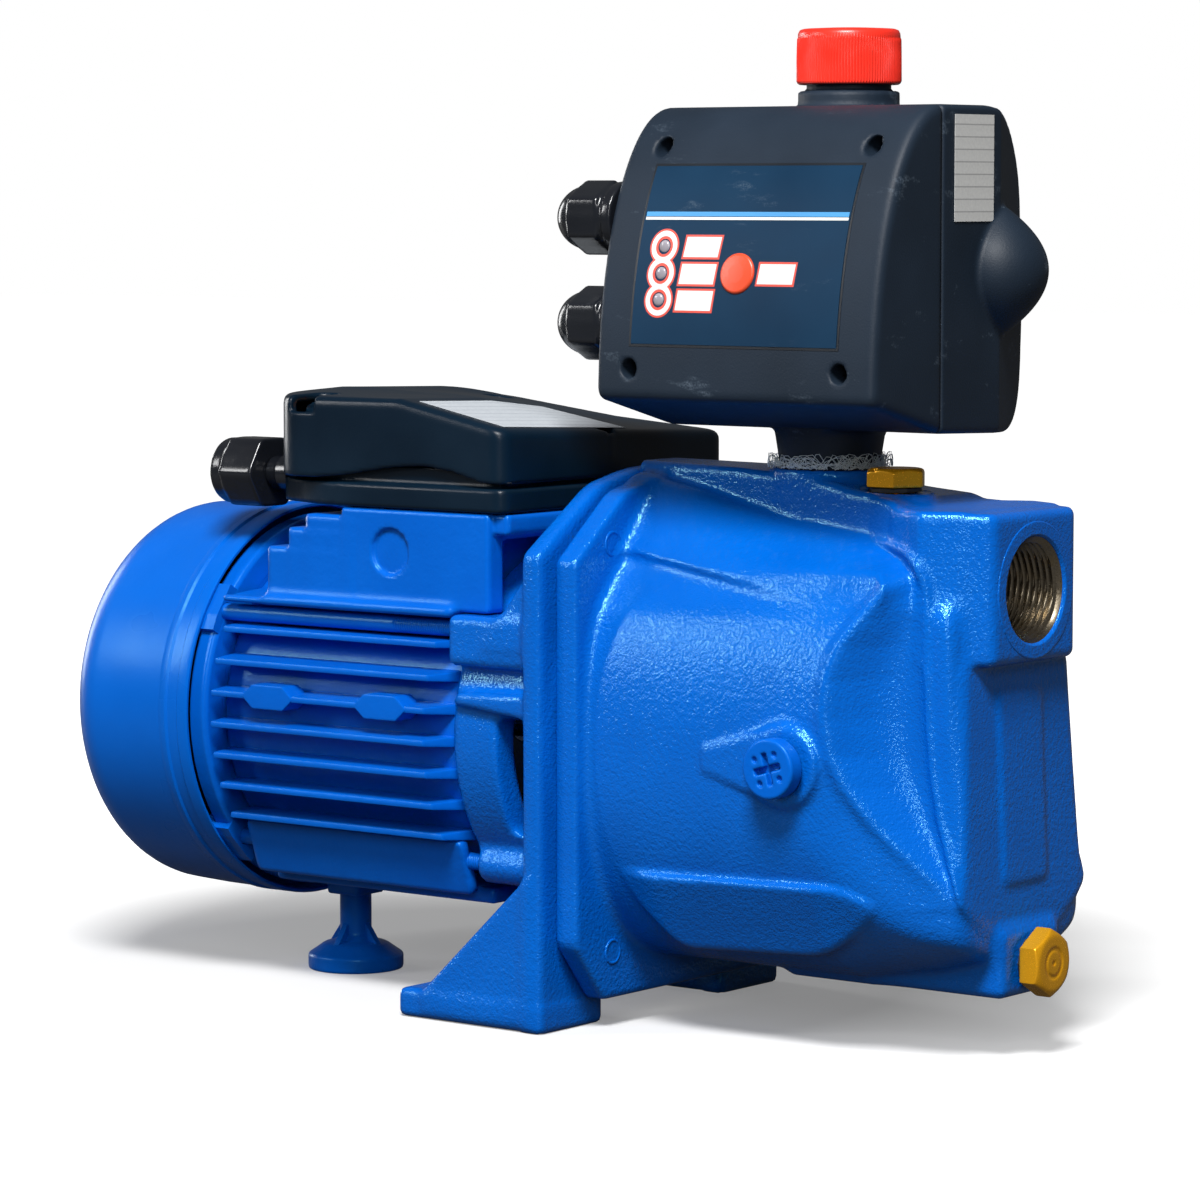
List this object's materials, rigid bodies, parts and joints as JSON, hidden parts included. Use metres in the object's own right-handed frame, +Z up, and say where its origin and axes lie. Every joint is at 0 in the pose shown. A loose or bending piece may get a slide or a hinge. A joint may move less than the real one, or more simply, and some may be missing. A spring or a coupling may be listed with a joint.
{
  "type": "centrifugal water pump",
  "caption": "Self-priming centrifugal jet pump with a blue cast casing, finned electric motor, terminal box and a flow controller mounted on its outlet.",
  "frame": {"origin": "on the floor plane under the middle of the pump's bounding box", "axes": "+X along the shaft towards the suction port, +Z up, -Y towards the controller's face"},
  "size_m": [0.378, 0.142, 0.3336],
  "materials": {
    "cast_blue": "glossy blue paint over a pebbled iron casting",
    "motor_blue": "smooth satin blue paint",
    "box_black": "satin black moulded plastic",
    "controller_black": "matte blue-black moulded plastic",
    "cap_red": "bright red moulded plastic, ribbed",
    "signal_red": "orange red button",
    "brass": "bright machined brass",
    "steel": "plain steel",
    "core_steel": "stacked sheet steel",
    "copper": "varnished copper winding",
    "rubber": "black rubber",
    "ceramic": "pale ceramic seal ring",
    "light_plastic": "pale moulded plastic",
    "lens": "pale clear lens",
    "panel": "dark printed sheet",
    "board": "green circuit board"
  },
  "bodies": {
    "frame": {"body_bolt_1": "steel", "body_bolt_2": "steel", "body_bolt_3": "steel", "body_bolt_4": "steel", "body_o_ring": "rubber", "box_gland_body": "box_black", "box_gland_nut": "box_black", "circuit_board": "board", "controller_body": "controller_black", "controller_cover": "controller_black", "diffuser": "light_plastic", "face_panel": "panel", "fan_cover": "motor_blue", "front_bearing_outer": "steel", "lid_screw_1": "brass", "lid_screw_2": "brass", "lid_screw_3": "brass", "lower_gland": "box_black", "motor_bracket": "cast_blue", "motor_housing": "motor_blue", "nozzle": "brass", "pump_body": "cast_blue", "rear_bearing_outer": "steel", "rear_shield": "motor_blue", "run_capacitor": "light_plastic", "seal_seat": "ceramic", "signal_lens": "lens", "stator_core": "core_steel", "support_foot": "motor_blue", "terminal_block": "light_plastic", "terminal_box": "box_black", "terminal_lid": "box_black", "tie_rod_1": "motor_blue", "tie_rod_2": "motor_blue", "tie_rod_3": "motor_blue", "tie_rod_4": "motor_blue", "upper_gland": "box_black", "valve_spring": "steel", "venturi_tube": "light_plastic", "winding_front": "copper", "winding_rear": "copper"},
    "rotor": {"rotor_shaft": "steel", "rotor_core": "core_steel", "front_bearing_inner": "steel", "rear_bearing_inner": "steel", "fan": "controller_black", "impeller": "brass", "impeller_nut": "brass", "seal_head": "steel"},
    "button": {"reset_button": "signal_red"},
    "valve": {"check_valve": "light_plastic"},
    "cap_seal": {"cap_liner": "rubber"},
    "cap": {"outlet_cap": "cap_red"},
    "priming_seal": {"priming_washer": "rubber"},
    "priming": {"priming_plug": "brass"},
    "drain_seal": {"drain_washer": "rubber"},
    "drain": {"drain_plug": "brass"},
    "gauge_seal": {"gauge_washer": "rubber"},
    "gauge": {"gauge_plug": "cast_blue"}
  },
  "joints": [
    {"name": "rotor_spin", "type": "hinge", "parent": "frame", "child": "rotor", "pos_m": [-0.029, 0, 0.097], "axis": [1, 0, 0], "continuous": true},
    {"name": "button_press", "type": "slide", "parent": "frame", "child": "button", "axis": [0, 0.9814, -0.1922], "range_m": [0, 0.001], "stiffness_N_per_m": 400, "springref_m": -0.001},
    {"name": "valve_lift", "type": "slide", "parent": "frame", "child": "valve", "axis": [0, 0, 1], "range_m": [0, 0.006], "stiffness_N_per_m": 60, "springref_m": -0.006, "deforming": ["valve_spring"]},
    {"name": "cap_lift", "type": "slide", "parent": "frame", "child": "cap_seal", "axis": [0, 0, 1], "range_m": [0, 0.0094]},
    {"name": "cap_turn", "type": "hinge", "parent": "cap_seal", "child": "cap", "pos_m": [0.1, 0.01, 0.3295], "axis": [0, 0, 1], "range_deg": [0, 1440]},
    {"name": "priming_lift", "type": "slide", "parent": "frame", "child": "priming_seal", "axis": [0, 0, 1], "range_m": [0, 0.0055]},
    {"name": "priming_turn", "type": "hinge", "parent": "priming_seal", "child": "priming", "pos_m": [0.1317, -0.008, 0.182], "axis": [0, 0, 1], "range_deg": [0, 1440]},
    {"name": "drain_lift", "type": "slide", "parent": "frame", "child": "drain_seal", "axis": [1, 0, 0], "range_m": [0, 0.0055]},
    {"name": "drain_turn", "type": "hinge", "parent": "drain_seal", "child": "drain", "pos_m": [0.18, 0, 0.0315], "axis": [1, 0, 0], "range_deg": [0, 1440]},
    {"name": "gauge_lift", "type": "slide", "parent": "frame", "child": "gauge_seal", "axis": [0, -1, 0], "range_m": [0, 0.0055]},
    {"name": "gauge_turn", "type": "hinge", "parent": "gauge_seal", "child": "gauge", "pos_m": [0.1225, -0.0592, 0.096], "axis": [0, -1, 0], "range_deg": [0, 1440]}
  ],
  "couplings": [
    {"joint": "cap_lift", "follows": "cap_turn", "m_per_rad": 0.00036749},
    {"joint": "priming_lift", "follows": "priming_turn", "m_per_rad": 0.00021279},
    {"joint": "drain_lift", "follows": "drain_turn", "m_per_rad": 0.00021279},
    {"joint": "gauge_lift", "follows": "gauge_turn", "m_per_rad": 0.00021279}
  ]
}
